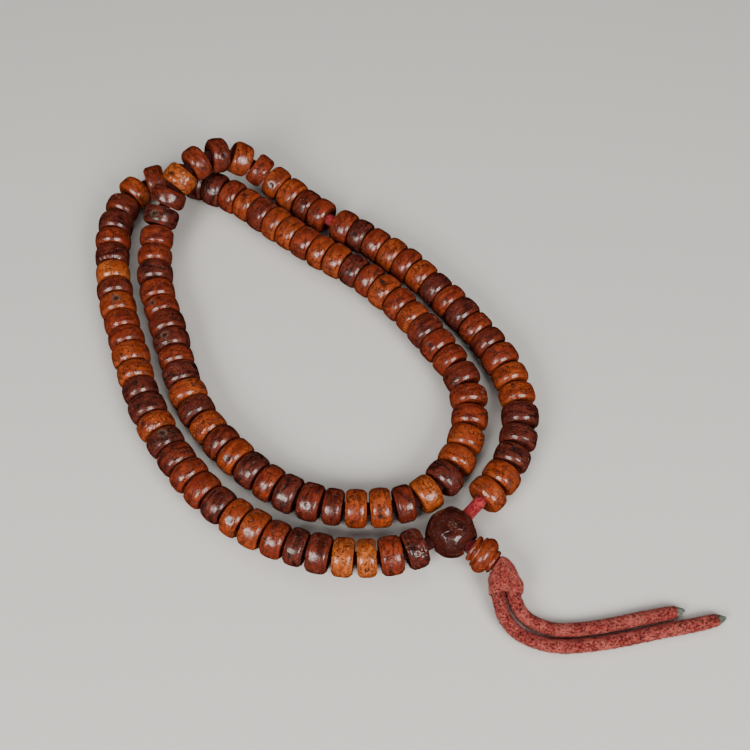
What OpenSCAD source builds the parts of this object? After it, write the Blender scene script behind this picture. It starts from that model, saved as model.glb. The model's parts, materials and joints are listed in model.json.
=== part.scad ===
// Mala prayer beads: 108 seed beads, a guru bead and a turned stupa bead on one suede cord.
// The string lies doubled on a flat surface, and crosses over itself once.
// Origin on the surface, under the middle of the outline without the free tails. +Z up, millimetres.

/* [Beads] */
// Mean diameter of a seed bead
bead_d = 10.6; // [9.8:0.1:10.6]
// Mean length of a seed bead along the cord
bead_len = 5.45; // [5.2:0.01:5.45]
// How far the seeds' lengths differ from the mean, as a share of it
length_spread = 0.08; // [0:0.01:0.08]
// How far the seeds' diameters differ from the mean, as a share of it
diameter_spread = 0.03; // [0:0.01:0.03]

/* [Cord] */
// Diameter of the cord that the beads are strung on
cord_d = 3.5; // [2.8:0.1:3.5]
// Clearance all round between the cord and a bead's bore
bore_gap = 0.25; // [0.2:0.05:0.3]
// Gap between the faces of neighbouring seeds on a straight run
face_gap = 0.3; // [0.2:0.05:0.3]
// Bare cord between the guru bead and the first seed
first_slack = 5; // [4.6:0.1:5.2]
// Bare cord between the 19th and 20th seeds
second_slack = 2.7; // [2:0.1:2.8]

/* [Guru and stupa] */
// Diameter of the guru bead
guru_d = 13.8; // [13:0.1:13.8]
// Length of the turned stupa bead
stupa_len = 7; // [6.8:0.1:7.2]
// Diameter of the stupa bead's main bulge
stupa_d = 10.2; // [9.8:0.1:10.2]

/* [Tails] */
// Diameter of each suede tail
tail_d = 3.6; // [3:0.1:3.6]
// Length of each stiffened tip
tip_len = 2.4; // [1.5:0.1:3]

/* [Hidden] */
SEEDS = 108;
SINGLES = 48;
MIDDLE_LAST = 78;
SLACK_AFTER = 19;
EPS = 0.01;
BORE_FN = 48;
CORD_SIDES = 8;
SPLINE_STEPS = 24;
SPACING_PASSES = 4;

string_z = bead_d * (1 + diameter_spread) / 2 + 0.05;

// Where the layout below sits from the origin
LAYOUT_AT = [0, -2.2, 0];

// Where the cord runs, from the guru bead round twice and back to it: x, y and rise above the surface.
// It leaves the guru bead straight, so that the first seed can slide along the bare cord there.
GURU = [39.9, -51.6, 0];
ROUTE = [
    GURU, [44.3, -46.93, 0], [48.7, -42.25, 0], [52.9, -37.8, 0], [57.9, -29.4, 0], [60.5, -18, 0],
    [58.5, -6, 0], [53, 5, 0], [45.5, 15, 0], [38, 24, 0], [29, 33, 0],
    [19, 41, 0], [8, 48, 0], [-3, 56, 0], [-12, 63.5, 1.5], [-20, 67.5, 6],
    [-28, 67, 10.5], [-34.5, 62.5, 11.5], [-40.5, 56.5, 9.5], [-45, 48.5, 4.5], [-46.5, 38, 1],
    [-45, 24, 0], [-40, 10, 0], [-35.5, -4, 0], [-30, -16, 0], [-22, -26, 0],
    [-13, -34.5, 0], [-3, -41, 0], [8, -44.5, 0], [20, -45, 0], [30.5, -43, 0],
    [37.7, -37.7, 0], [43.1, -29.8, 0], [46.5, -18, 0], [45, -6, 0], [38.5, 4, 0],
    [31.5, 13.5, 0], [24, 22, 0], [14, 30.5, 0], [3, 37.5, 0], [-7, 45, 0],
    [-17, 53, 0], [-26.5, 59.5, 0], [-36, 63.5, 0], [-44.5, 65.5, 0], [-52, 63.5, 0],
    [-57.5, 57, 0], [-60, 47, 0], [-59, 32, 0], [-55.5, 17, 0], [-50.5, 3, 0],
    [-46.5, -9, 0], [-40.5, -21, 0], [-33, -32, 0], [-24, -42, 0], [-13, -50, 0],
    [-1, -55.5, 0], [12, -58.5, 0], [24, -58, 0], [32, -55.5, 0], GURU
];

// Where the two tails lie, from the hood's mouth to their tips: x, y and the centre's height
LONG_TAIL = [
    [51.3, -66.3, 4.6], [51.7, -69.6, 4.5], [53.1, -74, 3.6], [57.5, -78, 2.5], [66, -80.3, 1.85],
    [78, -79.4, 1.85], [92.5, -76.6, 1.85], [101, -75, 1.85], [107.3, -73.6, 1.85]
];
SHORT_TAIL = [
    [55.1, -66.3, 4.6], [55.6, -69, 4.4], [57.2, -72.3, 3.5], [60.6, -74.7, 2.5], [67, -76.3, 1.85],
    [77, -75.4, 1.85], [88.5, -73.2, 1.85], [97, -71.6, 1.85]
];

// Small geometry helpers
function unit(v) = v / norm(v);
function turn(a, b) = acos(max(-1, min(1, unit(a) * unit(b))));
function mix(a, b, t) = a + (b - a) * t;
function catmull(a, b, c, d, t) =
    (2 * b + (c - a) * t + (2 * a - 5 * b + 4 * c - d) * t * t
    + (3 * b - a - 3 * c + d) * t * t * t) / 2;
function spline(p, steps) = [
    for (i = [0 : len(p) - 2])
        let (a = i > 0 ? p[i - 1] : 2 * p[0] - p[1])
        let (d = i < len(p) - 2 ? p[i + 2] : 2 * p[i + 1] - p[i])
            for (s = [0 : steps - 1])
                catmull(a, p[i], p[i + 1], d, s / steps),
    p[len(p) - 1]
];

// Seeds vary a little in length and diameter, as natural ones do.
// edge_share is the radius of a seed's rounded band, as a share of its length.
edge_share = 0.54;
function seed_len(n) = bead_len * (1 + length_spread * sin(n * 233 + 20));
function seed_d(n) = bead_d * (1 + diameter_spread * sin(n * 101));
function flat_r(n) =
    seed_d(n) / 2 - seed_len(n) * (edge_share - sqrt(edge_share * edge_share - 0.25));

// Stringing: each seed starts where the one before it ends, with room for the bend between them
curve = spline([for (p = ROUTE) LAYOUT_AT + [p.x, p.y, p.z + string_z]], SPLINE_STEPS);
function beyond(from, i, reach) =
    i >= len(curve) - 1 || norm(curve[i] - from) >= reach ? i : beyond(from, i + 1, reach);
function point_at(from, i, reach) =
    let (d0 = norm(curve[i - 1] - from))
    let (d1 = norm(curve[i] - from))
        mix(curve[i - 1], curve[i], (reach - d0) / max(EPS, d1 - d0));
function step_from(from, i, reach) =
    let (j = max(1, beyond(from, i, reach)))
        [point_at(from, j, reach), j];

// Length of cord that seed n takes up, worked out a few times over as the bends at its ends settle.
// bend_room is added to a face's radius, so that neighbours on a bend stay apart at their edges.
bend_room = 0.2;
function pitch(n, before, here, i, reach, passes) =
    passes == 0 ? reach :
    let (next = step_from(here, i, reach))
    let (after = step_from(next[0], next[1], reach))
    let (bend_in = tan(turn(here - before, next[0] - here) / 2))
    let (bend_out = tan(turn(next[0] - here, after[0] - next[0]) / 2))
        pitch(n, before, here, i,
              seed_len(n) + face_gap + (flat_r(n) + bend_room) * (bend_in + bend_out), passes - 1);

// A stop is the point where one length of cord ends and the next begins.
// Lengths 0 and SLACK_AFTER + 1 are bare cord, and every other length holds one seed.
function is_bare(e) = e == 0 || e == SLACK_AFTER + 1;
function seed_of(e) = e <= SLACK_AFTER ? e : e - 1;
function length_of(n) = n <= SLACK_AFTER ? n : n + 1;
function reach_of(e, before, here, i) =
    e == 0 ? first_slack :
    is_bare(e) ? second_slack :
    let (n = seed_of(e))
        pitch(n, before, here, i, seed_len(n) + face_gap, SPACING_PASSES);
function string_up(e, before, here, i, done) =
    e > SEEDS + 1 ? done :
    let (next = step_from(here, i, reach_of(e, before, here, i)))
        string_up(e + 1, here, next[0], next[1], concat(done, [next[0]]));

guru_c = curve[0];
guru_r = guru_d / 2;
cord_start = step_from(guru_c, 0, guru_r);
stops = string_up(0, guru_c, cord_start[0], cord_start[1], [cord_start[0]]);
last_stop = stops[len(stops) - 1];
function seed_start(n) = stops[length_of(n)];
function seed_end(n) = stops[length_of(n) + 1];

// Diameters of the cord and of what it runs through
cord_r = cord_d / 2;
bore_r = cord_r + bore_gap;
guru_half_h = string_z;
guru_crown = 0.8;
guru_under_r = guru_r * 1.07;
guru_crown_r = guru_r * 1.08;
cord_inset = guru_r - 3.6;

// The three drills meet past the guru bead's middle, and the second one cut a touch wide
drill_past = 1.5;
drill_wander = 0.05;

// The pendant hangs from the guru bead's third hole and lies on the surface
pendant_turn = -36;
pendant_dip = 1.5;
pendant_dir = [
    cos(pendant_turn) * cos(pendant_dip), sin(pendant_turn) * cos(pendant_dip), -sin(pendant_dip)
];
neck_r = 2.2;
neck_bore_r = 2.45;
guru_exit_r = 2.85;
neck_from = 3.6;
stupa_from = guru_r - 0.1;
stupa_to = stupa_from + stupa_len;
hood_from = stupa_to + 0.3;
hood_setback = 1.1;
hood_face_r = 3.4;
hood_hole_gap = 0.1;
hood_top = guru_c + pendant_dir * (hood_from + hood_setback);
hood_mouth = LAYOUT_AT + [53.3, -67.6, 4.75];
hood_dir = unit(hood_mouth - hood_top);
hood_len = norm(hood_mouth - hood_top);
hood_top_r = 3.2;
hood_mouth_r = 4.3;
hood_wall = 0.5;
knot_r = 2.3;
knot_at = 3.2;
neck_to = hood_from + 0.8;
tip_gap = 0.12;

bead_colors = ["#a8461c", "#8a2e16", "#c0611f", "#6d2013", "#9c3a1a"];

function bead_name(n) = str("bead_", n < 10 ? "00" : n < 100 ? "0" : "", n);

// Stands children, drawn along +Z, on the line from p towards q
module along(p, q) {
    v = q - p;
    translate(p)
        rotate([0, acos(v.z / norm(v)), atan2(v.y, v.x)])
            children();
}

// Tube of CORD_SIDES sides along a list of points, one ring to a point
module tube(points, r) {
    last = len(points) - 1;
    rings = [
        for (i = [0 : last])
            let (way = unit(points[min(i + 1, last)] - points[max(i - 1, 0)]))
            let (side = unit(cross(way, [0, 0, 1])))
            let (up = cross(side, way))
                for (s = [0 : CORD_SIDES - 1])
                    let (a = (s + 0.5) * 360 / CORD_SIDES)
                        points[i] + r * (cos(a) * side + sin(a) * up)
    ];
    walls = [
        for (i = [0 : last - 1])
            for (s = [0 : CORD_SIDES - 1])
                let (a = i * CORD_SIDES + s)
                let (b = i * CORD_SIDES + (s + 1) % CORD_SIDES)
                    [a, b, b + CORD_SIDES, a + CORD_SIDES]
    ];
    cap_a = [for (s = [CORD_SIDES - 1 : -1 : 0]) s];
    cap_b = [for (s = [0 : CORD_SIDES - 1]) last * CORD_SIDES + s];
    polyhedron(points = rings, faces = concat(walls, [cap_a, cap_b]), convexity = 10);
}

// One seed bead: flat drilled faces and a rounded band, centred between its two stops
module seed(n) {
    r = seed_d(n) / 2;
    h = seed_len(n);
    edge_r = h * edge_share;
    middle = (seed_start(n) + seed_end(n)) / 2;
    color(bead_colors[(n * 7) % len(bead_colors)])
        along(middle, seed_end(n))
            rotate_extrude($fn = BORE_FN)
                intersection() {
                    translate([bore_r, -h / 2])
                        square([r - bore_r + 1, h]);
                    union() {
                        translate([r - edge_r, 0])
                            circle(r = edge_r, $fn = BORE_FN);
                        translate([bore_r, -h])
                            square([r - edge_r - bore_r, 2 * h]);
                    }
                }
}

module seeds(from, to) {
    for (n = [from : to])
        seed(n);
}

// The cord through every seed, from one side hole of the guru bead to the other
module string_loop() {
    from = guru_c + cord_inset * unit(stops[0] - guru_c);
    to = guru_c + cord_inset * unit(last_stop - guru_c);
    color("#b03040")
        tube(concat([from], stops, [to]), cord_r);
}

// A bore from the guru bead's middle out towards a point, started a little past the middle
module guru_bore(towards, r) {
    along(guru_c, towards)
        translate([0, 0, -drill_past])
            cylinder(r = r, h = guru_d, $fn = BORE_FN);
}

// Three-hole guru bead: a flattened ball with a taller crown and a plain band round its middle
module guru_bead() {
    color("#5a1c12")
        difference() {
            translate(guru_c)
                intersection() {
                    translate([0, 0, guru_under_r - guru_half_h])
                        sphere(r = guru_under_r, $fn = 96);
                    translate([0, 0, guru_half_h + guru_crown - guru_crown_r])
                        sphere(r = guru_crown_r, $fn = 96);
                    translate([0, 0, -guru_d])
                        cylinder(r = guru_r, h = 2 * guru_d, $fn = 96);
                }
            guru_bore(stops[0], bore_r);
            guru_bore(last_stop, bore_r + drill_wander);
            guru_bore(guru_c + pendant_dir, guru_exit_r);
        }
}

// Turned bead below the guru: foot rim, groove, ridge, main bulge and end collar
module stupa_bead() {
    rim_r = stupa_len * 0.53;
    bulge_at = stupa_len * 0.51;
    belly_r = 2.4;
    color("#a2401b")
        along(guru_c + pendant_dir * stupa_from, guru_c + pendant_dir * stupa_to)
            rotate_extrude($fn = 96)
                difference() {
                    union() {
                        translate([rim_r - 0.6, 0.6])
                            circle(r = 0.6, $fn = 48);
                        square([rim_r - 0.6, 1]);
                        square([rim_r - 0.8, stupa_len - 0.3]);
                        translate([rim_r + 0.2, 2])
                            circle(r = 0.5, $fn = 48);
                        translate([0, 1.7])
                            square([rim_r + 0.2, 0.6]);
                        translate([stupa_d / 2 - belly_r, bulge_at])
                            circle(r = belly_r, $fn = 96);
                        translate([rim_r - 1.1, stupa_len - 0.7])
                            circle(r = 0.68, $fn = 48);
                        square([rim_r - 1.1, stupa_len]);
                    }
                    translate([-stupa_d, -1])
                        square([stupa_d + neck_bore_r, stupa_len + 2]);
                }
}

// Both ends of the cord, squeezed into one as they pass through the stupa bead
module neck_cord() {
    color("#b03040")
        along(guru_c + pendant_dir * neck_from, guru_c + pendant_dir * neck_to)
            cylinder(r = neck_r, h = neck_to - neck_from, $fn = BORE_FN);
}

// The knot that holds the beads on, hidden inside the hood
module cord_knot() {
    color("#a83844")
        translate(hood_top + hood_dir * knot_at)
            sphere(r = knot_r, $fn = 48);
}

// Suede hood wrapped round the knot: narrow at the stupa bead, open where the tails leave
module hood_form(r_top, r_mouth, extra) {
    cone_len = hood_len * 0.72;
    sphere(r = r_top, $fn = 64);
    cylinder(r1 = r_top, r2 = r_mouth, h = cone_len, $fn = 64);
    translate([0, 0, cone_len])
        cylinder(r = r_mouth, h = hood_len - cone_len + extra, $fn = 64);
}

module knot_hood() {
    color("#c4605a")
        difference() {
            along(hood_top, hood_mouth)
                difference() {
                    hood_form(hood_top_r, hood_mouth_r, 0);
                    hood_form(hood_top_r - hood_wall, hood_mouth_r - hood_wall, 1);
                }
            along(guru_c, guru_c + pendant_dir)
                cylinder(r = hood_face_r, h = hood_from, $fn = 64);
            along(guru_c, guru_c + pendant_dir)
                cylinder(r = neck_r + hood_hole_gap, h = hood_from + 1, $fn = BORE_FN);
        }
}

// A free tail of the cord
module tail(points) {
    color("#c25048")
        tube(spline([for (p = points) LAYOUT_AT + p], 2), tail_d / 2);
}

module tail_long() {
    tail(LONG_TAIL);
}

module tail_short() {
    tail(SHORT_TAIL);
}

// Stiffened, pointed end of a tail
module tip(points) {
    last = len(points) - 1;
    color("#3d4640")
        translate(LAYOUT_AT)
            along(points[last], 2 * points[last] - points[last - 1])
                translate([0, 0, tip_gap])
                    cylinder(r1 = tail_d * 0.42, r2 = tail_d * 0.1, h = tip_len, $fn = 32);
}

module tip_long() {
    tip(LONG_TAIL);
}

module tip_short() {
    tip(SHORT_TAIL);
}

string_loop();
guru_bead();
stupa_bead();
neck_cord();
cord_knot();
knot_hood();
tail_long();
tail_short();
tip_long();
tip_short();
seeds(SINGLES + 1, MIDDLE_LAST);  // beads_049_to_078
seeds(MIDDLE_LAST + 1, SEEDS);  // beads_079_to_108
for (n = [1 : SINGLES])
    seed(n);
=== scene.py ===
import json
import math

import bmesh
import bpy
import numpy as np
from mathutils import Matrix, Vector, noise


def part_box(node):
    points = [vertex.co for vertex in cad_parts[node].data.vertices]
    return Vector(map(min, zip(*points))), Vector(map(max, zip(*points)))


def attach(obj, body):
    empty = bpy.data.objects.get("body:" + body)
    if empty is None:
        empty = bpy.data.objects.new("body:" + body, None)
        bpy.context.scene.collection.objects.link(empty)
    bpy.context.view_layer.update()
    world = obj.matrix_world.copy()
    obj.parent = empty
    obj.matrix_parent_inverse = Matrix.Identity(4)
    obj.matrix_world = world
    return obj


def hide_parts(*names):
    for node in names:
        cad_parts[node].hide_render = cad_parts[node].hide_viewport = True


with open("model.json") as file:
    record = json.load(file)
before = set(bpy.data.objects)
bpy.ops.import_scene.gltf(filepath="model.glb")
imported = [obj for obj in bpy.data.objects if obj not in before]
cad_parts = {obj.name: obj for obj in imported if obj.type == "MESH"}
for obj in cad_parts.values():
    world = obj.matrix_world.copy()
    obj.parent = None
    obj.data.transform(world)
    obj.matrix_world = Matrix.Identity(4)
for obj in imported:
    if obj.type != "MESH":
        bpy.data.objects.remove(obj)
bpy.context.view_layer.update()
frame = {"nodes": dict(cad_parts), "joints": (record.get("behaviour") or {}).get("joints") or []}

MM = 0.001


VIEW_TARGET = Vector((0.020, -0.0042, 0))
VIEW_DISTANCE = 0.290
VIEW_ELEVATION = math.radians(62)

viewer = Vector((0, -math.cos(VIEW_ELEVATION), math.sin(VIEW_ELEVATION)))
lens = bpy.data.cameras.new("camera")
lens.lens = 48
lens.sensor_width = 36
lens.clip_start = 0.01
camera = bpy.data.objects.new("camera", lens)
camera.location = VIEW_TARGET + VIEW_DISTANCE * viewer
camera.rotation_euler = (math.radians(90) - VIEW_ELEVATION, 0, 0)
bpy.context.collection.objects.link(camera)
bpy.context.scene.camera = camera


# ---- The places of the seeds -----------------------------------------------------------------
# Every seed is drilled through the middle, so its solid gives the way the cord runs through it.
# Forty-eight seeds are solids of their own, and two runs of thirty share a node each.
SINGLE_SEEDS = 48
FIRST_RUN_END = 78
SEED_RUNS = ("beads_049_to_078", "beads_079_to_108")


class Place:
    """One seed's middle, the way the cord runs through it, half its length, and its radius."""

    def __init__(self, faces):
        middles = np.array([f.calc_center_median() for f in faces])
        areas = np.array([f.calc_area() for f in faces])
        points = np.array([v.co for f in faces for v in f.verts])
        centre = (middles * areas[:, None]).sum(0) / areas.sum()
        off = middles - centre
        axis = np.linalg.eigh((off.T * areas) @ off)[1][:, 0]
        run = (points - centre) @ axis
        self.centre = Vector(centre)
        self.axis = Vector(axis).normalized()
        self.half = float(run.max() - run.min()) / 2
        self.radius = float(np.linalg.norm(points - centre - run[:, None] * axis, axis=1).max())


def solids_in(node):
    """The separate solids of a CAD node, each as a Place."""
    work = bmesh.new()
    work.from_mesh(frame["nodes"][node].data)
    bmesh.ops.remove_doubles(work, verts=work.verts, dist=1e-6)
    places, seen = [], set()
    for first in work.faces:
        if first in seen:
            continue
        seen.add(first)
        faces, waiting = [], [first]
        while waiting:
            face = waiting.pop()
            faces.append(face)
            for edge in face.edges:
                for other in edge.link_faces:
                    if other not in seen:
                        seen.add(other)
                        waiting.append(other)
        places.append(Place(faces))
    work.free()
    return places


seeds = [solids_in(f"bead_{n:03d}")[0] for n in range(1, SINGLE_SEEDS + 1)]
for run in SEED_RUNS:
    left = solids_in(run)
    while left:
        left.sort(key=lambda place: (place.centre - seeds[-1].centre).length)
        seeds.append(left.pop(0))
for n, place in enumerate(seeds):
    way = seeds[min(n + 1, len(seeds) - 1)].centre - seeds[max(n - 1, 0)].centre
    if place.axis.dot(way) < 0:
        place.axis.negate()

stupa_spin = next(joint for joint in frame["joints"] if joint["name"] == "stupa_spin")
pendant_way = Vector(stupa_spin["axis"]).normalized()
guru_low, guru_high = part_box("guru_bead")
guru_middle = Vector(((guru_low.x + guru_high.x) / 2, (guru_low.y + guru_high.y) / 2, seeds[0].centre.z))


# ---- Suede cord through the seeds ------------------------------------------------------------
# One round-cut suede cord runs through every seed and into both sides of the guru bead.
# It shows beside the guru bead, between the 19th and 20th seeds, and as slivers elsewhere.
CORD_R = 1.75 * MM
CORD_INSET = 2.9 * MM
CORD_SIDES = 20
CORD_STEP = 0.45 * MM
SLACK_AFTER = 19
NAP_REACH = 3.1 * MM
# Beyond this distance from the two bare stretches the cord is darkened: painted shade for the gaps between
# the seeds.
SHADE_FROM = 4.6 * MM
CORD_SHADE = 0.92


def skin(name, rows, wrap=False):
    """A mesh over rows of points, each row a closed ring. wrap joins the last row to the first,
    and otherwise both ends are closed."""
    count, sides = len(rows), len(rows[0])
    points = [tuple(p) for row in rows for p in row]
    faces = []
    for k in range(count if wrap else count - 1):
        a, b = k * sides, (k + 1) % count * sides
        for s in range(sides):
            t = (s + 1) % sides
            faces.append((a + s, a + t, b + t, b + s))
    if not wrap:
        for k, turn in ((0, -1), (count - 1, 1)):
            middle = len(points)
            points.append(tuple(np.mean(rows[k], axis=0)))
            for s in range(sides):
                pair = (k * sides + s, k * sides + (s + 1) % sides)[::turn]
                faces.append((*pair, middle))
    mesh = bpy.data.meshes.new(name)
    mesh.from_pydata(points, [], faces)
    work = bmesh.new()
    work.from_mesh(mesh)
    bmesh.ops.recalc_face_normals(work, faces=work.faces)
    work.to_mesh(mesh)
    work.free()
    mesh.polygons.foreach_set("use_smooth", [True] * len(mesh.polygons))
    return mesh


def piece(name, mesh, material, body, nodes):
    """A shown piece: its mesh and material, the body it rides on, and the nodes it stands for."""
    made = bpy.data.objects.new(name, mesh)
    bpy.context.collection.objects.link(made)
    mesh.materials.append(material)
    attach(made, body)
    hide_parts(*nodes)
    return made


def even(points, step):
    """The same route with its points a step apart."""
    points = np.array([tuple(p) for p in points])
    far = np.concatenate([[0], np.cumsum(np.linalg.norm(np.diff(points, axis=0), axis=1))])
    at = np.linspace(0, far[-1], max(3, int(far[-1] / step) + 1))
    return np.stack([np.interp(at, far, points[:, k]) for k in range(3)], axis=1)


def tube(route, radius, sides, rough, grain, floor=None):
    """Rings round a route, roughened by noise. radius is one number, or one to a point."""
    radii = np.broadcast_to(radius, len(route))
    rows = []
    for k, centre in enumerate(route):
        way = Vector(route[min(k + 1, len(route) - 1)] - route[max(k - 1, 0)]).normalized()
        side = way.cross(Vector((0, 0, 1))).normalized()
        up = side.cross(way)
        row = []
        for s in range(sides):
            a = 2 * math.pi * s / sides
            out = math.cos(a) * side + math.sin(a) * up
            at = Vector(centre) + float(radii[k]) * out
            push = rough * noise.noise(at * grain) + 0.6 * rough * noise.noise(at * grain * 2.7)
            at += push * out
            if floor is not None:
                at.z = max(at.z, floor)
            row.append(tuple(at))
        rows.append(row)
    return rows


def nap(mesh, chance, length, width, covers=lambda at: True):
    """Adds the raised fibres of suede: fine closed spikes rooted just under the surface, wherever
    covers(place) is true. A fibre that would reach the table is left out."""
    work = bmesh.new()
    work.from_mesh(mesh)
    for face in list(work.faces):
        at = face.calc_center_median()
        count = int(face.calc_area() / MM ** 2 * chance + pick.random())
        if not covers(at):
            continue
        outline = [v.co.copy() for v in face.verts]
        normal = face.normal.copy()
        for _ in range(count):
            mix = pick.dirichlet(np.ones(len(outline)))
            root = sum((float(m) * c for m, c in zip(mix, outline)), Vector())
            lean = Vector(pick.normal(0, 0.55, 3))
            tip_at = root + (normal + lean).normalized() * length * float(pick.uniform(0.4, 1))
            if min(root.z - 0.1 * MM * normal.z, tip_at.z) < 2 * width:
                continue
            side = normal.orthogonal().normalized()
            other = normal.cross(side)
            root -= 0.1 * MM * normal
            ring = [work.verts.new(root + width * (math.cos(a) * side + math.sin(a) * other))
                    for a in (0, 2.1, 4.2)]
            point = work.verts.new(tip_at)
            work.faces.new(ring[::-1])
            for s in range(3):
                work.faces.new((ring[s], ring[(s + 1) % 3], point))
    work.to_mesh(mesh)
    work.free()
    mesh.polygons.foreach_set("use_smooth", [True] * len(mesh.polygons))


class Wires:
    """A node tree with short calls to add a node and to join two sockets."""

    def __init__(self, tree):
        self.tree = tree

    def add(self, kind, inputs=None, **settings):
        made = self.tree.nodes.new(kind)
        for key, value in settings.items():
            setattr(made, key, value)
        for key, value in (inputs or {}).items():
            if isinstance(value, bpy.types.NodeSocket):
                self.tree.links.new(value, made.inputs[key])
            else:
                made.inputs[key].default_value = value
        return made

    def math(self, kind, a, b=0.0, clamp=False):
        return self.add("ShaderNodeMath", {0: a, 1: b}, operation=kind, use_clamp=clamp).outputs[0]

    def fade(self, value, low, high, to_low=0.0, to_high=1.0):
        """value, stretched from low..high to to_low..to_high, and held between them."""
        return self.add("ShaderNodeMapRange", {"Value": value, "From Min": low, "From Max": high,
                                               "To Min": to_low, "To Max": to_high}).outputs["Result"]

    def blend(self, share, a, b):
        """Colour a, turning into colour b as share goes from 0 to 1."""
        made = self.add("ShaderNodeMix", data_type="RGBA")
        for key, value in ((0, share), (6, a), (7, b)):
            if isinstance(value, bpy.types.NodeSocket):
                self.tree.links.new(value, made.inputs[key])
            else:
                made.inputs[key].default_value = value
        return made.outputs[2]


def new_group(name, inputs, outputs):
    """An empty shader node group with named inputs and outputs, and its Wires."""
    tree = bpy.data.node_groups.new(name, "ShaderNodeTree")
    for label, kind, value in inputs:
        socket = tree.interface.new_socket(name=label, in_out="INPUT", socket_type=kind)
        socket.default_value = value
    for label, kind in outputs:
        tree.interface.new_socket(name=label, in_out="OUTPUT", socket_type=kind)
    wires = Wires(tree)
    return tree, wires, wires.add("NodeGroupInput").outputs, wires.add("NodeGroupOutput")


NUMBER, COLOUR = "NodeSocketFloat", "NodeSocketColor"


def suede_nap():
    """Group: brushed suede, with a mottled nap, dark speckles where it parts, and pale fibre ends. Its last
    input paints shade, darkening the suede to near black.
    """
    tree, w, given, out = new_group(
        "suede_nap",
        [("Dyed", COLOUR, (0.5, 0.08, 0.07, 1)), ("Parted", COLOUR, (0.1, 0.02, 0.02, 1)),
         ("Brushed", COLOUR, (0.7, 0.2, 0.18, 1)), ("Speckle", NUMBER, 0.5), ("Grime", NUMBER, 0.0)],
        [("Color", COLOUR), ("Height", NUMBER)])
    place = w.add("ShaderNodeTexCoord").outputs["Object"]
    cloud = w.add("ShaderNodeTexNoise", {"Vector": place, "Scale": 420.0, "Detail": 3.0}).outputs[0]
    fibre = w.add("ShaderNodeTexNoise", {"Vector": place, "Scale": 1900.0, "Detail": 4.0,
                                         "Roughness": 0.65}).outputs[0]
    fleck = w.add("ShaderNodeTexVoronoi", {"Vector": place, "Scale": 1500.0}).outputs["Distance"]
    brushed = w.blend(w.fade(cloud, 0.4, 0.68), given["Dyed"], given["Brushed"])
    lifted = w.blend(w.fade(fibre, 0.50, 0.66, 0.0, 0.8), brushed, given["Brushed"])
    gap = w.math("MULTIPLY", w.fade(fleck, 0.3, 0.12), w.fade(fibre, 0.56, 0.44))
    gap = w.math("MULTIPLY", w.math("ADD", gap, w.fade(fibre, 0.48, 0.36)), given["Speckle"], clamp=True)
    dyed = w.blend(gap, lifted, given["Parted"])
    # Painted shade: the last input blends the suede towards near black where it sits in shadow.
    tree.links.new(w.blend(given["Grime"], dyed, (0.018, 0.004, 0.004, 1)), out.inputs["Color"])
    tree.links.new(w.math("SUBTRACT", fibre, gap), out.inputs["Height"])
    return tree


suede = suede_nap()


def suede_material(name, dyed, parted, brushed, speckle):
    """Matt suede of one dye lot."""
    made = bpy.data.materials.new(name)
    made.use_nodes = True
    w = Wires(made.node_tree)
    shader = made.node_tree.nodes["Principled BSDF"]
    shader.inputs["Roughness"].default_value = 0.92
    shader.inputs["Specular IOR Level"].default_value = 0.2
    shader.inputs["Sheen Weight"].default_value = 0.12
    shader.inputs["Sheen Roughness"].default_value = 0.5
    shader.inputs["Sheen Tint"].default_value = (1, 0.5, 0.42, 1)
    look = w.add("ShaderNodeGroup", node_tree=suede)
    for key, value in (("Dyed", dyed), ("Parted", parted), ("Brushed", brushed), ("Speckle", speckle)):
        look.inputs[key].default_value = value
    # Painted shade: meshes that carry this mask are darkened where they lie in shadow.
    grime = w.add("ShaderNodeAttribute", attribute_name="grime").outputs["Fac"]
    made.node_tree.links.new(grime, look.inputs["Grime"])
    bump = w.add("ShaderNodeBump", {"Strength": 0.8, "Distance": 0.25 * MM, "Height": look.outputs["Height"]})
    made.node_tree.links.new(look.outputs["Color"], shader.inputs["Base Color"])
    made.node_tree.links.new(bump.outputs["Normal"], shader.inputs["Normal"])
    return made


pick = np.random.default_rng(108)
cord_suede = suede_material("cord_suede", (0.34, 0.016, 0.028, 1), (0.05, 0.003, 0.006, 1),
                            (0.52, 0.055, 0.060, 1), 0.8)

cord_points = []
for place in seeds:
    cord_points += [place.centre - place.half * place.axis, place.centre + place.half * place.axis]
for end in (0, -1):
    to_seed = (cord_points[end] - guru_middle).normalized()
    cord_points.insert(0 if end == 0 else len(cord_points), guru_middle + CORD_INSET * to_seed)
slack = 2 * SLACK_AFTER
bare = [(cord_points[0] + cord_points[1]) / 2, (cord_points[slack] + cord_points[slack + 1]) / 2]
string_mesh = skin("string_cord", tube(even(cord_points, CORD_STEP), CORD_R - 0.03 * MM, CORD_SIDES,
                                       0.05 * MM, 900))
nap(string_mesh, 7, 0.10 * MM, 0.020 * MM, lambda at: min((at - b).length for b in bare) < NAP_REACH)
# Painted shade: the cord is darkened wherever it lies hidden between seeds, away from its two bare stretches.
from_bare = [min((v.co - b).length for b in bare) for v in string_mesh.vertices]
grimy = [min(1.0, max(0.0, (far - SHADE_FROM) / MM)) for far in from_bare]
string_grime = string_mesh.attributes.new("grime", "FLOAT", "POINT")
string_grime.data.foreach_set("value", [CORD_SHADE * g for g in grimy])
piece("string_cord", string_mesh, cord_suede, "strung_loop", ["string_loop"])


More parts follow.
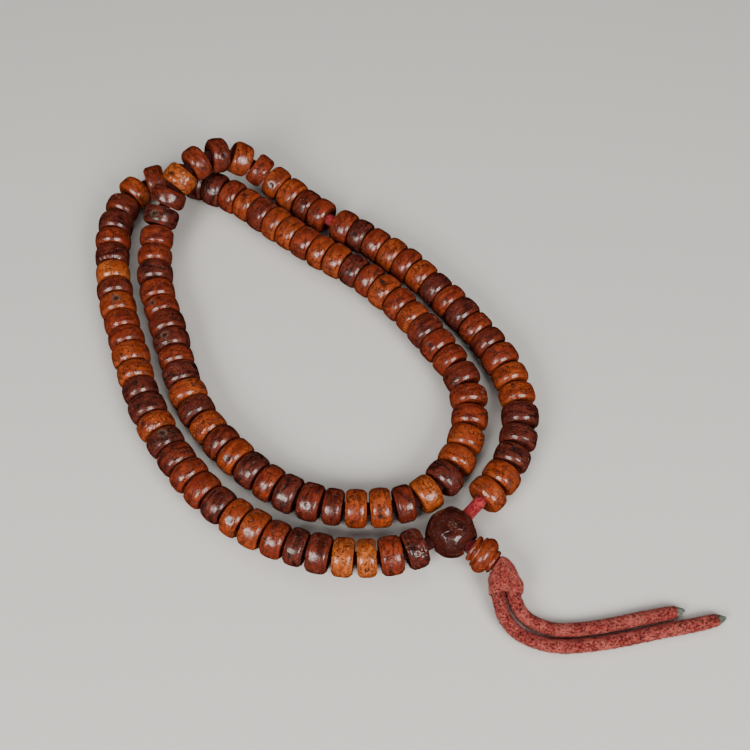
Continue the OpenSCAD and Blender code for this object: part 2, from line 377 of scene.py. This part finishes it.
# ---- Free tails ------------------------------------------------------------------------------
# Both ends of the cord leave the hood side by side, drop to the table and lie out to the right.
# They are limp suede with a raised nap.
TAIL_R = 1.8 * MM
TAIL_TAPER = 4 * MM
LAYOUT_AT = Vector((0, -2.2, 0))
LONG_TAIL = [
    (51.3, -66.3, 4.6), (51.7, -69.6, 4.5), (53.1, -74, 3.6), (57.5, -78, 2.5), (66, -80.3, 1.85),
    (78, -79.4, 1.85), (92.5, -76.6, 1.85), (101, -75, 1.85), (107.3, -73.6, 1.85),
]
SHORT_TAIL = [
    (55.1, -66.3, 4.6), (55.6, -69, 4.4), (57.2, -72.3, 3.5), (60.6, -74.7, 2.5), (67, -76.3, 1.85),
    (77, -75.4, 1.85), (88.5, -73.2, 1.85), (97, -71.6, 1.85),
]
tail_suede = suede_material("tail_suede", (0.24, 0.026, 0.024, 1), (0.020, 0.004, 0.004, 1),
                            (0.46, 0.105, 0.085, 1), 1.0)


def smooth_route(points, steps):
    """A smooth line through the given points, in metres."""
    p = [MM * (LAYOUT_AT + Vector(point)) for point in points]
    p = [2 * p[0] - p[1], *p, 2 * p[-1] - p[-2]]
    line = []
    for a, b, c, d in zip(p, p[1:], p[2:], p[3:]):
        for s in range(steps):
            t = s / steps
            line.append((2 * b + (c - a) * t + (2 * a - 5 * b + 4 * c - d) * t ** 2
                         + (3 * b - a - 3 * c + d) * t ** 3) / 2)
    return line + [p[-2]]


def tail(name, points, node):
    """One tail, narrowing a little into its tip. Returns the piece, its route and its real length."""
    route = even(smooth_route(points, 12), 0.4 * MM)
    run = np.arange(len(route)) * np.linalg.norm(route[1] - route[0])
    left_over = run[-1] - run
    radius = (TAIL_R - 0.06 * MM) * (0.82 + 0.18 * np.clip(left_over / TAIL_TAPER, 0, 1) ** 0.6)
    mesh = skin(name, tube(route, radius, 30, 0.16 * MM, 1100, floor=0.02 * MM))
    nap(mesh, 9, 0.6 * MM, 0.045 * MM)
    made = piece(name, mesh, tail_suede, "pendant", [node])
    return made, route, float(run[-1])


tails = {
    "long": tail("tail_long_suede", LONG_TAIL, "tail_long"),
    "short": tail("tail_short_suede", SHORT_TAIL, "tail_short"),
}


# ---- Stiffened tips --------------------------------------------------------------------------
# The last few millimetres of each tail are soaked with glue and pinched to a point for threading.
# They dry hard, dark and a little shiny, with the fibres stuck together in ridges.
TIP_LENGTH = 2.4 * MM


def tip_material():
    """Glue-soaked suede, dried dark and streaky, with a slight shine."""
    made = bpy.data.materials.new("tip_stiffened")
    made.use_nodes = True
    w = Wires(made.node_tree)
    shader = made.node_tree.nodes["Principled BSDF"]
    shader.inputs["Coat Weight"].default_value = 0.4
    shader.inputs["Coat Roughness"].default_value = 0.25
    place = w.add("ShaderNodeTexCoord").outputs["Object"]
    streak = w.add("ShaderNodeTexNoise", {"Vector": place, "Scale": 1800.0, "Detail": 5.0}).outputs[0]
    colour = w.blend(w.fade(streak, 0.35, 0.65), (0.03, 0.035, 0.03, 1), (0.20, 0.24, 0.20, 1))
    bump = w.add("ShaderNodeBump", {"Strength": 0.6, "Distance": 0.1 * MM, "Height": streak})
    made.node_tree.links.new(colour, shader.inputs["Base Color"])
    made.node_tree.links.new(w.fade(streak, 0.3, 0.7, 0.35, 0.6), shader.inputs["Roughness"])
    made.node_tree.links.new(bump.outputs["Normal"], shader.inputs["Normal"])
    return made


tip_stiffened = tip_material()
for which, (made, route, length) in tails.items():
    start = Vector(route[-1])
    way = (start - Vector(route[-3])).normalized()
    line = np.array([tuple(start + way * TIP_LENGTH * (t - 0.06)) for t in np.linspace(0, 1.06, 24)])
    taper = np.linspace(1, 0, 24)
    radius = 0.12 * MM + 1.35 * MM * taper ** 0.7
    mesh = skin(f"tip_{which}_point", tube(line, radius, 24, 0.10 * MM, 1600, floor=0.02 * MM))
    point = piece(f"tip_{which}_point", mesh, tip_stiffened, "pendant", [f"tip_{which}"])


# ---- Seed beads ------------------------------------------------------------------------------
# 108 natural seeds, drilled, turned to drums and polished by handling. No two are alike in tone:
# B bright orange, O orange, R orange-red, M red-brown, D dark maroon, in the order of stringing.
# An s is a dark scar where the seed was joined to the fruit, and an e a pale-ringed eye.
TONES = """
    O O Ds D D O O R M R D R D O R O R Ds R R M O Os R O Ms R
    Bs M De R R D R Re M De R D O D O M Os D R D Ms M O Os M B D
    O O R R M R Rs M O R Os R D O O R O O M Os R D D M R O M
    D R D B M Oe R R O O Ds D Os De M R R D Os O R D M B B R D
""".split()
WRINKLED = (28, 84, 94, 108)
BORE_R = 2.0 * MM
SEED_SIDES = 72
FACE_SHARE = 0.85
BAND_POWER = 2.5
RIM_R = 0.30 * MM


def seed_outline(half, radius):
    """Half the drum's section, from the bore's lower edge out round the band and back down the bore.
    Each point is its distance from the axis, its height, and how much it is a worn rim, painted pale both as
    wear and as a painted highlight."""
    face_r = FACE_SHARE * radius
    line = [(BORE_R + 0.22 * MM, -half + 0.03 * MM, 0.5)]
    line += [(BORE_R + share * (face_r - RIM_R - BORE_R), -half, 0) for share in (0.25, 0.5, 0.75)]
    for k in range(4):
        a = math.radians(90 * k / 4)
        line.append((face_r - RIM_R * (1 - math.sin(a)), -half + RIM_R * (1 - math.cos(a)), 1))
    top = half - RIM_R
    for k in range(1, 16):
        z = -top + 2 * top * k / 16
        swell = (1 - abs(z / top) ** BAND_POWER) ** (1 / BAND_POWER)
        line.append((face_r + (radius - face_r) * swell, z, 0.5 if k in (1, 15) else 0))
    for k in range(3, -1, -1):
        a = math.radians(90 * k / 4)
        line.append((face_r - RIM_R * (1 - math.sin(a)), half - RIM_R * (1 - math.cos(a)), 1))
    line += [(BORE_R + share * (face_r - RIM_R - BORE_R), half, 0) for share in (0.75, 0.5, 0.25)]
    line.append((BORE_R + 0.22 * MM, half - 0.03 * MM, 0.5))
    line += [(BORE_R, z * half, 0) for z in (0.9, 0.3, -0.3, -0.9)]
    return line


def seed_mesh(name, place, marks, wrinkled, shift):
    """One seed in its own frame, +Z along the cord. Hand-cut unevenness only takes material away,
    and its depths are in millimetres."""
    lobes, turn, tilt = pick.integers(2, 5), pick.uniform(0, 6.28), pick.uniform(0, 0.012)
    eye_at = math.radians(90 + pick.uniform(-26, 26))
    eye_z = place.half * pick.uniform(-0.25, 0.25)
    eye_r = pick.uniform(1.0, 1.35) * MM
    offset = Vector((shift * 31.7, shift * 17.3, shift * 5.1))
    rows, rims, eyes, rings = [], [], [], []
    for r, z, rim in seed_outline(place.half, place.radius - 0.02 * MM):
        row = []
        outer = max(0.0, (r - BORE_R) / (place.radius - BORE_R))
        for s in range(SEED_SIDES):
            a = 2 * math.pi * s / SEED_SIDES
            out = Vector((math.cos(a), math.sin(a), 0))
            rough = noise.noise(Vector((out.x, out.y, z / place.radius)) * 1.6 + offset)
            fine = noise.noise(Vector((out.x, out.y, z / place.radius)) * 5 + offset)
            cut = 0.05 * (1 + math.cos(lobes * a + turn)) + 0.14 * max(0, 0.3 - rough) + 0.05 * (0.5 - fine)
            if wrinkled:
                fold = noise.noise(Vector((3 * out.x, 3 * out.y, 2.2 * z / place.radius)) * 1.5 + offset)
                cut += 0.42 * max(0.0, 1 - abs(fold) / 0.16)
            span = abs((a - eye_at + math.pi) % (2 * math.pi) - math.pi) * place.radius
            far = math.hypot(span, z - eye_z)
            on_band = 1.0 if r > FACE_SHARE * place.radius else 0.0
            eye = on_band * max(0.0, min(1.0, 1.6 - 1.6 * far / eye_r)) if marks else 0.0
            ring = on_band * math.exp(-((far - 0.85 * eye_r) / (0.28 * eye_r)) ** 2) if marks == "e" else 0.0
            cut += 0.16 * eye
            thin = 1 - tilt * math.cos(a - turn) * (1 if z > 0 else -1) * outer - tilt * outer
            row.append(((r - outer * cut * MM) * out.x, (r - outer * cut * MM) * out.y, z * min(1, thin)))
            rims.append(rim), eyes.append(eye), rings.append(ring)
        rows.append(row)
    mesh = skin(name, rows, wrap=True)
    for label, values in (("rim", rims), ("eye", eyes), ("eye_ring", rings), ("shift", [shift] * len(rims))):
        mesh.attributes.new(label, "FLOAT", "POINT").data.foreach_set("value", values)
    return mesh


def seed_skin():
    """Group: polished seed coat, with mottling, streaks round it, veins, pores, scars, and pale rims that are
    partly wear and partly a painted highlight.
    """
    tree, w, given, out = new_group(
        "seed_skin",
        [("Main", COLOUR, (0.5, 0.1, 0.02, 1)), ("Pale", COLOUR, (0.7, 0.2, 0.04, 1)),
         ("Deep", COLOUR, (0.1, 0.02, 0.01, 1)), ("Staining", NUMBER, 0.5), ("Veins", NUMBER, 0.5)],
        [("Color", COLOUR), ("Roughness", NUMBER), ("Height", NUMBER)])

    def painted(label):
        return w.add("ShaderNodeAttribute", attribute_name=label).outputs["Fac"]

    shift = w.add("ShaderNodeCombineXYZ", {0: painted("shift"), 1: 0.0, 2: 0.0}).outputs[0]
    place = w.add("ShaderNodeTexCoord").outputs["Object"]
    place = w.add("ShaderNodeVectorMath", {0: place, 1: shift}, operation="ADD").outputs[0]
    belts = w.add("ShaderNodeVectorMath", {0: place, 1: (1.0, 1.0, 3.4)}, operation="MULTIPLY").outputs[0]
    cloud = w.add("ShaderNodeTexNoise", {"Vector": place, "Scale": 260.0, "Detail": 4.0,
                                         "Distortion": 0.4}).outputs[0]
    belt = w.add("ShaderNodeTexNoise", {"Vector": belts, "Scale": 230.0, "Detail": 4.0,
                                        "Distortion": 0.8}).outputs[0]
    grain = w.add("ShaderNodeTexNoise", {"Vector": place, "Scale": 1500.0, "Detail": 5.0}).outputs[0]
    bent = w.add("ShaderNodeTexNoise", {"Vector": place, "Scale": 380.0, "Detail": 2.0,
                                        "Distortion": 1.2}).outputs[0]
    vein = w.fade(w.math("ABSOLUTE", w.math("SUBTRACT", bent, 0.5)), 0.028, 0.006)
    vein = w.math("MULTIPLY", vein, w.fade(cloud, 0.36, 0.50))
    vein = w.math("MULTIPLY", vein, given["Veins"])
    cell = w.add("ShaderNodeTexVoronoi", {"Vector": place, "Scale": 1150.0}).outputs["Distance"]
    pore = w.math("MULTIPLY", w.fade(cell, 0.24, 0.1), w.fade(belt, 0.46, 0.6))
    rim = painted("rim")
    ring = w.math("MULTIPLY", painted("eye_ring"), w.fade(grain, 0.38, 0.58, 0.25, 1.0))
    colour = w.blend(w.fade(cloud, 0.36, 0.66), given["Main"], given["Pale"])
    colour = w.blend(w.math("MULTIPLY", w.fade(belt, 0.46, 0.62), given["Staining"]), colour, given["Deep"])
    colour = w.blend(w.fade(grain, 0.46, 0.68, 0.0, 0.6), colour, given["Deep"])
    # Painted highlight: rims and ridges are lightened towards the pale tone, partly as wear and partly as the
    # highlight a rounded edge catches.
    colour = w.blend(w.math("MULTIPLY", rim, 0.35), colour, given["Pale"])
    cracks = w.math("MULTIPLY", w.math("MAXIMUM", pore, vein), 0.85)
    colour = w.blend(cracks, colour, (0.022, 0.007, 0.004, 1))
    colour = w.blend(w.math("MULTIPLY", painted("eye"), 0.92), colour, (0.018, 0.009, 0.010, 1))
    colour = w.blend(w.math("MULTIPLY", ring, 0.75), colour, (0.17, 0.115, 0.075, 1))
    tree.links.new(colour, out.inputs["Color"])
    tree.links.new(w.fade(grain, 0.35, 0.7, 0.2, 0.42), out.inputs["Roughness"])
    height = w.math("SUBTRACT", w.math("MULTIPLY", grain, 0.25), w.math("MAXIMUM", pore, vein))
    height = w.math("ADD", height, w.math("MULTIPLY", bent, 0.5))
    tree.links.new(height, out.inputs["Height"])
    return tree


polished_seed = seed_skin()


def seed_material(name, main, pale, deep, staining, veins):
    """A polished seed of one tone, under a thin clear polish."""
    made = bpy.data.materials.new(name)
    made.use_nodes = True
    w = Wires(made.node_tree)
    shader = made.node_tree.nodes["Principled BSDF"]
    shader.inputs["Coat Weight"].default_value = 0.7
    shader.inputs["Coat Roughness"].default_value = 0.2
    shader.inputs["Specular IOR Level"].default_value = 0.45
    look = w.add("ShaderNodeGroup", node_tree=polished_seed)
    for key, value in (("Main", main), ("Pale", pale), ("Deep", deep),
                       ("Staining", staining), ("Veins", veins)):
        look.inputs[key].default_value = value
    bump = w.add("ShaderNodeBump", {"Strength": 0.95, "Distance": 0.26 * MM,
                                    "Height": look.outputs["Height"]})
    made.node_tree.links.new(look.outputs["Color"], shader.inputs["Base Color"])
    made.node_tree.links.new(look.outputs["Roughness"], shader.inputs["Roughness"])
    made.node_tree.links.new(bump.outputs["Normal"], shader.inputs["Normal"])
    return made


seed_tones = {
    "B": seed_material("seed_bright", (0.40, 0.074, 0.013, 1), (0.58, 0.145, 0.026, 1),
                       (0.14, 0.018, 0.004, 1), 0.6, 0.95),
    "O": seed_material("seed_orange", (0.28, 0.040, 0.010, 1), (0.43, 0.082, 0.017, 1),
                       (0.10, 0.012, 0.004, 1), 0.7, 0.9),
    "R": seed_material("seed_red", (0.20, 0.024, 0.009, 1), (0.32, 0.050, 0.015, 1),
                       (0.062, 0.007, 0.004, 1), 0.75, 0.8),
    "M": seed_material("seed_brown", (0.135, 0.018, 0.009, 1), (0.225, 0.034, 0.014, 1),
                       (0.032, 0.005, 0.003, 1), 0.8, 0.7),
    "D": seed_material("seed_dark", (0.105, 0.017, 0.011, 1), (0.185, 0.033, 0.018, 1),
                       (0.014, 0.003, 0.003, 1), 0.85, 0.7),
}

for n, (place, tone) in enumerate(zip(seeds, TONES), start=1):
    name = f"seed_{n:03d}"
    mesh = seed_mesh(name, place, tone[1:], n in WRINKLED, n * 0.137)
    facing = (viewer - viewer.dot(place.axis) * place.axis).normalized()
    made = bpy.data.objects.new(name, mesh)
    bpy.context.collection.objects.link(made)
    mesh.materials.append(seed_tones[tone[0]])
    turned = Matrix((facing.cross(place.axis), facing, place.axis)).transposed()
    made.matrix_world = Matrix.Translation(place.centre) @ turned.to_4x4()
    single = n <= SINGLE_SEEDS
    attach(made, f"bead_{n:03d}" if single else "strung_loop")
    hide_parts(f"bead_{n:03d}" if single else SEED_RUNS[0 if n <= FIRST_RUN_END else 1])


# ---- Guru bead -------------------------------------------------------------------------------
# A larger dark seed with three bores, where the round of the string begins and ends.
# It keeps the seed's own flats, with two curved ridges over its crown and a star of pale dots.
GURU_R = 6.9 * MM
GURU_UNDER = GURU_R * 1.07
GURU_CROWN = GURU_R * 1.08
GURU_HALF = seeds[0].centre.z
GURU_RISE = 0.8 * MM
FIRST_BORE_R = 2.05 * MM
LAST_BORE_R = 2.10 * MM
THIRD_BORE_R = 2.85 * MM
# Each ridge: where it crosses the middle, its slope and bow, and where it starts and ends.
GURU_RIDGES = ((-0.20, 0.22, 0.30, -0.50, 0.52), (0.50, -0.35, 0.50, 0.05, 0.62))
# Each flat: the way it faces, and how far it lies from the middle in millimetres.
GURU_FLATS = (
    ((0.0, 0.10, 1), 5.45), ((-0.72, -0.66, 0.46), 5.95), ((0.66, -0.70, 0.46), 5.90),
    ((-0.97, 0.30, 0.20), 6.40), ((0.96, 0.28, 0.20), 6.40), ((-0.45, 0.88, 0.25), 6.35),
    ((0.50, 0.86, 0.25), 6.35), ((-0.60, -0.60, -0.55), 5.7), ((0.58, -0.62, -0.55), 5.7),
)


def guru_reach(way):
    """How far the guru bead's solid reaches from its middle in one direction."""
    reach = GURU_R / max(1e-6, math.hypot(way.x, way.y))
    for radius, height in ((GURU_UNDER, GURU_UNDER - GURU_HALF),
                           (GURU_CROWN, GURU_HALF + GURU_RISE - GURU_CROWN)):
        lift = way.z * height
        reach = min(reach, lift + math.sqrt(max(0, lift ** 2 + radius ** 2 - height ** 2)))
    return reach


def guru_mesh():
    """The flattened seed, its flats cut from the solid's round form; the three bores are drilled into it
    afterwards.
    """
    flats = [(Vector(way).normalized(), depth * MM) for way, depth in GURU_FLATS]
    rows, ridge_mask, star = [], [], []
    for k in range(1, 100):
        up = math.pi * (k / 100 - 0.5)
        row = []
        for s in range(160):
            a = 2 * math.pi * s / 160
            way = Vector((math.cos(up) * math.cos(a), math.cos(up) * math.sin(a), math.sin(up)))
            reach = guru_reach(way) - 0.03 * MM
            for normal, depth in flats:
                facing = way.dot(normal)
                if facing > 0.2:
                    over = (reach - depth / facing) / MM
                    reach -= MM * math.log1p(math.exp(min(30, over * 6))) / 6
            ridge = 0.0
            if way.z > 0:
                for y, rise, bow, start, end in GURU_RIDGES:
                    line = way.y - (y + rise * way.x - bow * way.x ** 2)
                    along = min(1.0, max(0.0, (way.x - start) / 0.12), max(0.0, (end - way.x) / 0.12))
                    ridge = max(ridge, along * math.exp(-(line / 0.022) ** 2))
            rough = noise.noise(way * 3.1) + 0.5 * noise.noise(way * 8)
            reach += MM * (0.20 * ridge - 0.10 * (0.6 - rough))
            row.append(tuple(way * reach))
            ridge_mask.append(ridge)
            star.append(guru_star(way))
        rows.append(row)
    mesh = skin("guru_seed", rows)
    ends = [0.0] * (len(mesh.vertices) - len(ridge_mask))
    # The ridges go into the pale-rim mask, so they are painted light: partly wear, partly a painted
    # highlight.
    for label, values in (("rim", ridge_mask), ("eye", [0.0] * len(star)), ("eye_ring", star),
                          ("shift", [0.61] * len(star))):
        mesh.attributes.new(label, "FLOAT", "POINT").data.foreach_set("value", list(values) + ends)
    return mesh


def guru_star(way):
    """The star of pale dots on the crown: six round a middle one."""
    spots = [(0.0, 0.04)] + [(0.16 * math.cos(math.radians(60 * k + 12)),
                              0.04 + 0.16 * math.sin(math.radians(60 * k + 12))) for k in range(6)]
    if way.z < 0.5:
        return 0.0
    near = min(math.hypot(way.x - x, way.y - y) for x, y in spots)
    return 1.0 if near < 0.034 else max(0.0, 1 - (near - 0.034) / 0.03)


def drilled(target, towards, radius):
    """Cuts a bore out from the guru bead's middle, started a little past it, into a finished mesh."""
    way = (towards - guru_middle).normalized()
    side = way.orthogonal().normalized()
    other = way.cross(side)
    rows = [[tuple(guru_middle + way * run + radius * (math.cos(a) * side + math.sin(a) * other))
             for a in (2 * math.pi * s / 48 for s in range(48))]
            for run in (-1.5 * MM, 11 * MM)]
    cutter = bpy.data.objects.new("cutter", skin("cutter", rows))
    bpy.context.collection.objects.link(cutter)
    cut = target.modifiers.new("bore", "BOOLEAN")
    cut.operation, cut.solver, cut.object = "DIFFERENCE", "EXACT", cutter
    bpy.context.view_layer.update()
    result = bpy.data.meshes.new_from_object(target.evaluated_get(bpy.context.evaluated_depsgraph_get()))
    target.modifiers.clear()
    target.data = result
    bpy.data.objects.remove(cutter)


guru_look = seed_material("guru_seed", (0.052, 0.008, 0.005, 1), (0.105, 0.016, 0.009, 1),
                          (0.016, 0.004, 0.004, 1), 0.6, 0.5)
guru = bpy.data.objects.new("guru_seed", guru_mesh())
bpy.context.collection.objects.link(guru)
guru.location = guru_middle
guru.data.materials.append(guru_look)
drilled(guru, cord_points[1], FIRST_BORE_R)
drilled(guru, cord_points[-2], LAST_BORE_R)
drilled(guru, guru_middle + pendant_way, THIRD_BORE_R)
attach(guru, "strung_loop")
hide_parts("guru_bead")


# ---- Stupa bead ------------------------------------------------------------------------------
# A turned bead below the guru: foot rim, groove, ridge, round belly and end collar, all cut on a
# lathe in one pass and polished. It spins freely on the doubled cord.
STUPA_FROM = GURU_R - 0.1 * MM
STUPA_BORE = 2.45 * MM
# Each point of the section: its distance from the axis and its height, in millimetres.
STUPA_OUTLINE = (
    (2.45, 0.06), (2.80, 0.02), (3.20, 0.0), (3.48, 0.05), (3.64, 0.24), (3.69, 0.55), (3.63, 0.88),
    (3.42, 1.10), (3.16, 1.22), (3.10, 1.36), (3.30, 1.48), (3.80, 1.56), (4.16, 1.68), (4.36, 1.90),
    (4.32, 2.14), (4.24, 2.24), (4.36, 2.36), (4.64, 2.62), (4.90, 3.00), (5.02, 3.50), (5.00, 4.00),
    (4.84, 4.50), (4.52, 5.00), (4.05, 5.44), (3.48, 5.78), (3.02, 5.92), (2.95, 6.00), (3.02, 6.06),
    (3.18, 6.14), (3.25, 6.32), (3.20, 6.66), (3.02, 6.88), (2.76, 6.97), (2.60, 6.96), (2.45, 6.90),
    (2.45, 4.6), (2.45, 2.3),
)


def stupa_mesh():
    """The lathe outline turned about +Z, with a ring added halfway between its points."""
    points = np.array(STUPA_OUTLINE) * MM
    rows = []
    for k, (r, z) in enumerate(points):
        after = points[(k + 1) % len(points)]
        for share in (0.0, 0.5):
            at_r, at_z = r + share * (after[0] - r), z + share * (after[1] - z)
            row = []
            for s in range(96):
                a = 2 * math.pi * s / 96
                worn = at_r - wear(at_r, a, at_z)
                row.append((worn * math.cos(a), worn * math.sin(a), at_z))
            rows.append(row)
    return skin("stupa_turned", rows, wrap=True)


def wear(r, a, z):
    """How much handling has taken off the turned surface."""
    if r < STUPA_BORE + 0.05 * MM:
        return 0.0
    at = Vector((math.cos(a), math.sin(a), z / (3 * MM)))
    return MM * max(0.0, 0.02 + 0.05 * noise.noise(at * 1.7) + 0.02 * noise.noise(at * 6))


stupa_look = seed_material("stupa_wood", (0.26, 0.034, 0.011, 1), (0.40, 0.072, 0.018, 1),
                           (0.085, 0.010, 0.004, 1), 0.6, 0.6)
stupa = bpy.data.objects.new("stupa_turned", stupa_mesh())
for label in ("rim", "eye", "eye_ring", "shift"):
    stupa.data.attributes.new(label, "FLOAT", "POINT")
bpy.context.collection.objects.link(stupa)
stupa.data.materials.append(stupa_look)
stupa_side = (viewer - viewer.dot(pendant_way) * pendant_way).normalized()
stupa_turn = Matrix((stupa_side.cross(pendant_way), stupa_side, pendant_way)).transposed()
stupa.matrix_world = Matrix.Translation(guru_middle + STUPA_FROM * pendant_way) @ stupa_turn.to_4x4()
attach(stupa, "stupa_bead")
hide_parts("stupa_bead")


# ---- Neck of the cord ------------------------------------------------------------------------
# Both cord ends come out of the guru bead's third bore and are squeezed together through the stupa
# bead, so only the edges of the pair show in the two narrow gaps.
NECK_FROM = 3.6 * MM
NECK_TO = 14.8 * MM
NECK_R = 2.12 * MM
NECK_SHADE = 0.75
neck_line = even([guru_middle + run * pendant_way for run in (NECK_FROM, NECK_TO)], 0.4 * MM)
neck_mesh = skin("neck_cord_pair", tube(neck_line, NECK_R, 32, 0.06 * MM, 900))
# Painted shade: the whole pair is darkened evenly, as it shows only in narrow shadowed gaps.
neck_grime = neck_mesh.attributes.new("grime", "FLOAT", "POINT")
neck_grime.data.foreach_set("value", [NECK_SHADE] * len(neck_mesh.vertices))
piece("neck_cord_pair", neck_mesh, cord_suede, "pendant", ["neck_cord"])


# ---- The knot --------------------------------------------------------------------------------
# The two ends are tied in an overhand knot under the stupa bead, which keeps the beads on.
# It is hidden inside the hood.
knot_low, knot_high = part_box("cord_knot")
knot_middle = (knot_low + knot_high) / 2
knot_r = (knot_high.x - knot_low.x) / 2


def knot_mesh():
    """A tight ball of cord, with the strands' turns showing as furrows."""
    rows = []
    for k in range(1, 40):
        up = math.pi * (k / 40 - 0.5)
        row = []
        for s in range(64):
            a = 2 * math.pi * s / 64
            way = Vector((math.cos(up) * math.cos(a), math.cos(up) * math.sin(a), math.sin(up)))
            furrow = 0.5 + 0.5 * math.cos(3 * a + 4 * up)
            row.append(tuple(knot_middle + way * knot_r * (0.99 - 0.10 * furrow ** 4)))
        rows.append(row)
    return skin("knot_ball", rows)


piece("knot_ball", knot_mesh(), cord_suede, "pendant", ["cord_knot"])


# ---- Suede hood ------------------------------------------------------------------------------
# A scrap of brushed suede is wrapped round the knot and glued to itself: narrow where it grips the
# neck, full over the knot, with a rolled lobe at its right edge and an open mouth for the tails.
HOOD_FROM = 14.25 * MM
HOOD_WALL = 0.42 * MM
HOOD_SIDES = 72
HOOD_BEND = 2.2 * MM
LOBE_HEIGHT = 0.55
SEAM_DEPTH = 0.34
CREASE_DEPTH = 0.14
hood_mouth = MM * (LAYOUT_AT + Vector((53.3, -67.5, 4.75)))
hood_suede = suede_material("hood_suede", (0.33, 0.040, 0.032, 1), (0.045, 0.009, 0.009, 1),
                            (0.52, 0.130, 0.105, 1), 0.9)
# How far along the hood, from 0 to 1, and its radius there in millimetres.
HOOD_GIRTH = ((0.0, 2.5), (0.1, 2.85), (0.25, 3.2), (0.45, 3.6), (0.65, 3.95), (0.85, 4.2), (1.0, 4.2))


def hood_mesh():
    """Rings round a bent spine: out to the mouth, over its rolled lip, and back inside."""
    start = guru_middle + HOOD_FROM * pendant_way
    bend = guru_middle + (HOOD_FROM + HOOD_BEND) * pendant_way
    at, girth = zip(*HOOD_GIRTH)
    stations = [(float(t), 0.0) for t in np.linspace(0, 1, 44)]
    stations += [(1 + 0.03 * math.sin(math.radians(lip)), (1 - math.cos(math.radians(lip))) / 2)
                 for lip in (25, 50, 75, 100, 125, 150, 180)]
    stations += [(float(t), 1.0) for t in np.linspace(0.97, 0.0, 26)]
    rows = []
    for t, inside in stations:
        spine = (1 - t) ** 2 * start + 2 * t * (1 - t) * bend + t ** 2 * hood_mouth
        way = (2 * (1 - t) * (bend - start) + 2 * t * (hood_mouth - bend)).normalized()
        side = way.cross(Vector((0, 0, -1))).normalized()
        up = Vector((0, 0, 1)) - way.z * way
        up.normalize()
        radius = float(np.interp(min(t, 1), at, girth)) * MM - inside * HOOD_WALL
        row = []
        for s in range(HOOD_SIDES):
            a = 2 * math.pi * s / HOOD_SIDES
            out = math.cos(a) * side + math.sin(a) * up
            turn = (a - math.radians(18) + math.pi) % (2 * math.pi) - math.pi
            lobe = math.exp(-((t - 0.86) / 0.14) ** 2 - (turn / 0.55) ** 2)
            seam = math.exp(-((turn - 0.95) / 0.12) ** 2) * max(0.0, min(1.0, (t - 0.35) / 0.4))
            crease = noise.noise(Vector((2.2 * t, math.cos(a), math.sin(a))) * 2.1)
            form = MM * (LOBE_HEIGHT * lobe - SEAM_DEPTH * seam + CREASE_DEPTH * crease)
            reach = radius + form * (1 - 0.8 * inside) * min(1, 8 * t)
            point = spine + reach * out
            point += MM * 0.07 * noise.noise(point * 1300) * out
            point.z = max(point.z, (0.05 + 0.6 * inside) * MM)
            row.append(tuple(point))
        rows.append(row)
    return skin("hood_wrap", rows, wrap=True)


hood = hood_mesh()
nap(hood, 9, 0.5 * MM, 0.042 * MM, lambda at: (at - guru_middle).length > HOOD_FROM + 0.9 * MM)
piece("hood_wrap", hood, hood_suede, "pendant", ["knot_hood"])


# ---- Table and light -------------------------------------------------------------------------
# A plain pale table top. Two soft boxes on the near side put a pair of highlights on each seed, and
# a large one overhead fills the rest.
def table_top():
    """One flat square under the mala, left out of its reflections."""
    points = [(-1.5, -1.5, 0), (1.5, -1.5, 0), (1.5, 1.5, 0), (-1.5, 1.5, 0)]
    mesh = bpy.data.meshes.new("table")
    mesh.from_pydata(points, [], [(0, 1, 2, 3)])
    made = bpy.data.objects.new("table", mesh)
    paper = bpy.data.materials.new("table")
    paper.use_nodes = True
    shader = paper.node_tree.nodes["Principled BSDF"]
    shader.inputs["Base Color"].default_value = (0.72, 0.71, 0.69, 1)
    shader.inputs["Roughness"].default_value = 0.7
    mesh.materials.append(paper)
    made.visible_glossy = False
    bpy.context.collection.objects.link(made)


def soft_box(name, place, size, power):
    """A square light that faces the middle of the mala."""
    light = bpy.data.lights.new(name, "AREA")
    light.size = size
    light.energy = power
    light.color = (1, 0.96, 0.9)
    made = bpy.data.objects.new(name, light)
    made.location = place
    made.rotation_euler = (VIEW_TARGET - Vector(place)).to_track_quat("-Z", "Y").to_euler()
    bpy.context.collection.objects.link(made)


table_top()
soft_box("soft_box_left", (-0.30, -0.42, 0.42), 0.30, 3.4)
soft_box("soft_box_right", (0.34, -0.42, 0.42), 0.30, 3.4)
soft_box("soft_box_above", (0.02, 0.25, 0.75), 0.6, 2.0)
bpy.data.objects["soft_box_above"].visible_glossy = False
sky = bpy.data.worlds.new("studio")
sky.use_nodes = True
sky.node_tree.nodes["Background"].inputs["Color"].default_value = (0.9, 0.93, 1, 1)
sky.node_tree.nodes["Background"].inputs["Strength"].default_value = 0.16
sky.cycles_visibility.glossy = False
bpy.context.scene.world = sky
